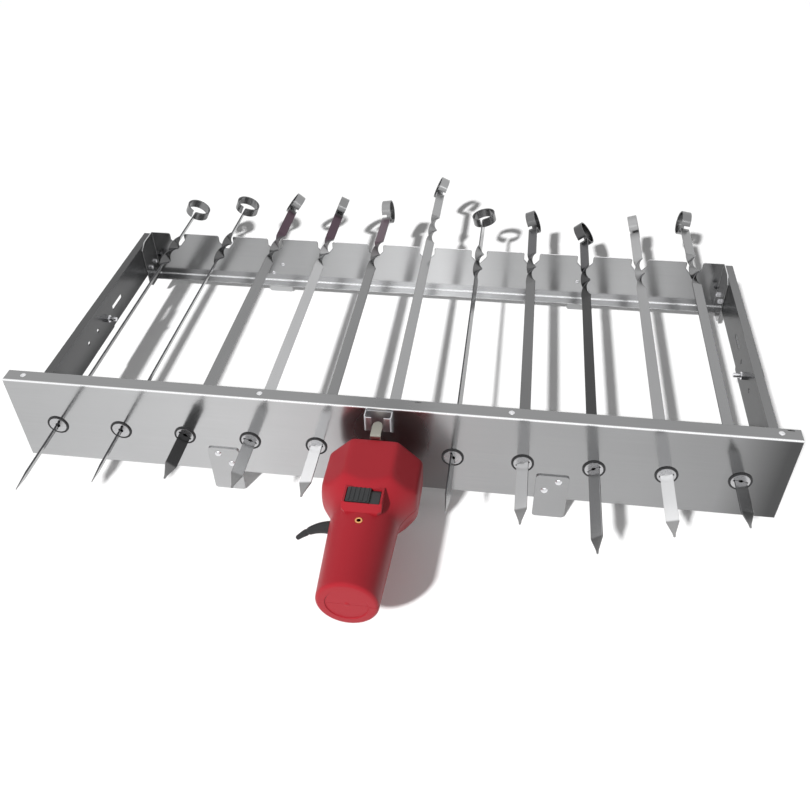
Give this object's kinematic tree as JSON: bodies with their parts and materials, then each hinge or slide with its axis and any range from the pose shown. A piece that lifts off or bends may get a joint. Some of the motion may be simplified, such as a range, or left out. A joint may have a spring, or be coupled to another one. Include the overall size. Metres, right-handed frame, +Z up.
{
  "type": "electric skewer grill",
  "caption": "Rotating skewer grill: flat skewers in a long steel gear box, turned by a clip-on motor, over an adjustable frame that straddles a brazier.",
  "frame": {"origin": "on the floor under the middle of the object's box, in the middle of the row of skewers", "axes": "+X along the row of skewers, +Y from the motor to the skewers' rings, +Z up"},
  "size_m": [0.907, 0.8924, 0.1516],
  "materials": {
    "polished_steel": "polished stainless sheet",
    "skewer_steel": "satin stainless strip",
    "bush_steel": "turned steel",
    "bolt_steel": "bright plated",
    "bearing_black": "black low-friction plastic",
    "gear_white": "moulded gear plastic",
    "housing_red": "semi-gloss moulded plastic",
    "switch_black": "black plastic",
    "boot_black": "soft black",
    "ring_brass": "bright",
    "motor_steel": "zinc plated",
    "tongue_ivory": "nickel plated strip"
  },
  "bodies": {
    "front": {"front_panel": "polished_steel", "back_cover": "polished_steel", "box_screws": "bolt_steel", "bearings": "bearing_black", "front_side_left": "polished_steel", "front_side_right": "polished_steel", "slot_bolts": "bolt_steel", "front_brackets": "polished_steel", "panel_bolts": "bolt_steel", "hanger_bracket": "bolt_steel"},
    "drive_1": {"bush_1": "bush_steel", "gear_1": "gear_white"},
    "skewer_1": {"skewer_1": "skewer_steel"},
    "drive_2": {"bush_2": "bush_steel", "gear_2": "gear_white"},
    "skewer_2": {"skewer_2": "skewer_steel"},
    "drive_3": {"bush_3": "bush_steel", "gear_3": "gear_white"},
    "skewer_3": {"skewer_3": "skewer_steel"},
    "drive_4": {"bush_4": "bush_steel", "gear_4": "gear_white"},
    "skewer_4": {"skewer_4": "skewer_steel"},
    "drive_5": {"bush_5": "bush_steel", "gear_5": "gear_white"},
    "skewer_5": {"skewer_5": "skewer_steel"},
    "drive_6": {"bush_6": "bush_steel", "gear_6": "gear_white"},
    "skewer_6": {"skewer_6": "skewer_steel"},
    "drive_7": {"bush_7": "bush_steel", "gear_7": "gear_white"},
    "skewer_7": {"skewer_7": "skewer_steel"},
    "drive_8": {"bush_8": "bush_steel", "gear_8": "gear_white"},
    "skewer_8": {"skewer_8": "skewer_steel"},
    "drive_9": {"bush_9": "bush_steel", "gear_9": "gear_white"},
    "skewer_9": {"skewer_9": "skewer_steel"},
    "drive_10": {"bush_10": "bush_steel", "gear_10": "gear_white"},
    "skewer_10": {"skewer_10": "skewer_steel"},
    "drive_11": {"bush_11": "bush_steel", "gear_11": "gear_white"},
    "skewer_11": {"skewer_11": "skewer_steel"},
    "rear": {"rear_panel": "polished_steel", "rear_side_left": "polished_steel", "rear_side_right": "polished_steel", "corner_bolts": "bolt_steel", "rear_brackets": "polished_steel", "rear_bracket_bolts": "bolt_steel"},
    "motor": {"housing_upper": "housing_red", "housing_lower": "housing_red", "housing_screws": "bolt_steel", "switch_body": "switch_black", "cord_boot": "boot_black", "jack_ring": "ring_brass", "motor_core": "motor_steel", "gearbox": "motor_steel", "hanger_tongue": "tongue_ivory"},
    "shaft": {"output_shaft": "bolt_steel"},
    "knob": {"switch_knob": "switch_black"}
  },
  "joints": [
    {"name": "spin_6", "type": "hinge", "parent": "front", "child": "drive_6", "pos_m": [0, -0.23025, 0.084], "axis": [0, 1, 0], "continuous": true},
    {"name": "spin_1", "type": "hinge", "parent": "front", "child": "drive_1", "pos_m": [-0.4, -0.23025, 0.084], "axis": [0, 1, 0], "continuous": true},
    {"name": "spin_2", "type": "hinge", "parent": "front", "child": "drive_2", "pos_m": [-0.32, -0.23025, 0.084], "axis": [0, 1, 0], "continuous": true},
    {"name": "spin_3", "type": "hinge", "parent": "front", "child": "drive_3", "pos_m": [-0.24, -0.23025, 0.084], "axis": [0, 1, 0], "continuous": true},
    {"name": "spin_4", "type": "hinge", "parent": "front", "child": "drive_4", "pos_m": [-0.16, -0.23025, 0.084], "axis": [0, 1, 0], "continuous": true},
    {"name": "spin_5", "type": "hinge", "parent": "front", "child": "drive_5", "pos_m": [-0.08, -0.23025, 0.084], "axis": [0, 1, 0], "continuous": true},
    {"name": "spin_7", "type": "hinge", "parent": "front", "child": "drive_7", "pos_m": [0.08, -0.23025, 0.084], "axis": [0, 1, 0], "continuous": true},
    {"name": "spin_8", "type": "hinge", "parent": "front", "child": "drive_8", "pos_m": [0.16, -0.23025, 0.084], "axis": [0, 1, 0], "continuous": true},
    {"name": "spin_9", "type": "hinge", "parent": "front", "child": "drive_9", "pos_m": [0.24, -0.23025, 0.084], "axis": [0, 1, 0], "continuous": true},
    {"name": "spin_10", "type": "hinge", "parent": "front", "child": "drive_10", "pos_m": [0.32, -0.23025, 0.084], "axis": [0, 1, 0], "continuous": true},
    {"name": "spin_11", "type": "hinge", "parent": "front", "child": "drive_11", "pos_m": [0.4, -0.23025, 0.084], "axis": [0, 1, 0], "continuous": true},
    {"name": "pull_skewer_1", "type": "slide", "parent": "drive_1", "child": "skewer_1", "axis": [0, 1, 0], "range_m": [0, 0.137]},
    {"name": "pull_skewer_2", "type": "slide", "parent": "drive_2", "child": "skewer_2", "axis": [0, 1, 0], "range_m": [0, 0.116]},
    {"name": "pull_skewer_3", "type": "slide", "parent": "drive_3", "child": "skewer_3", "axis": [0, 1, 0], "range_m": [0, 0.101]},
    {"name": "pull_skewer_4", "type": "slide", "parent": "drive_4", "child": "skewer_4", "axis": [0, 1, 0], "range_m": [0, 0.106]},
    {"name": "pull_skewer_5", "type": "slide", "parent": "drive_5", "child": "skewer_5", "axis": [0, 1, 0], "range_m": [0, 0.11]},
    {"name": "pull_skewer_6", "type": "slide", "parent": "drive_6", "child": "skewer_6", "axis": [0, 1, 0], "range_m": [0, 0.018]},
    {"name": "pull_skewer_7", "type": "slide", "parent": "drive_7", "child": "skewer_7", "axis": [0, 1, 0], "range_m": [0, 0.113]},
    {"name": "pull_skewer_8", "type": "slide", "parent": "drive_8", "child": "skewer_8", "axis": [0, 1, 0], "range_m": [0, 0.121]},
    {"name": "pull_skewer_9", "type": "slide", "parent": "drive_9", "child": "skewer_9", "axis": [0, 1, 0], "range_m": [0, 0.151]},
    {"name": "pull_skewer_10", "type": "slide", "parent": "drive_10", "child": "skewer_10", "axis": [0, 1, 0], "range_m": [0, 0.119]},
    {"name": "pull_skewer_11", "type": "slide", "parent": "drive_11", "child": "skewer_11", "axis": [0, 1, 0], "range_m": [0, 0.097]},
    {"name": "frame_length", "type": "slide", "parent": "front", "child": "rear", "axis": [0, 1, 0], "range_m": [-0.055, 0.0325]},
    {"name": "motor_off", "type": "slide", "parent": "front", "child": "motor", "axis": [0, 1, 0], "range_m": [-0.06, 0]},
    {"name": "shaft_spin", "type": "hinge", "parent": "motor", "child": "shaft", "pos_m": [0, -0.23025, 0.084], "axis": [0, 1, 0], "continuous": true},
    {"name": "switch_slide", "type": "slide", "parent": "motor", "child": "knob", "axis": [1, 0, 0], "range_m": [0, 0.009]}
  ],
  "couplings": [
    {"joint": "spin_1", "follows": "spin_6", "ratio": -1},
    {"joint": "spin_2", "follows": "spin_6", "ratio": 1},
    {"joint": "spin_3", "follows": "spin_6", "ratio": -1},
    {"joint": "spin_4", "follows": "spin_6", "ratio": 1},
    {"joint": "spin_5", "follows": "spin_6", "ratio": -1},
    {"joint": "spin_7", "follows": "spin_6", "ratio": -1},
    {"joint": "spin_8", "follows": "spin_6", "ratio": 1},
    {"joint": "spin_9", "follows": "spin_6", "ratio": -1},
    {"joint": "spin_10", "follows": "spin_6", "ratio": 1},
    {"joint": "spin_11", "follows": "spin_6", "ratio": -1},
    {"joint": "shaft_spin", "follows": "spin_6", "ratio": 1}
  ]
}
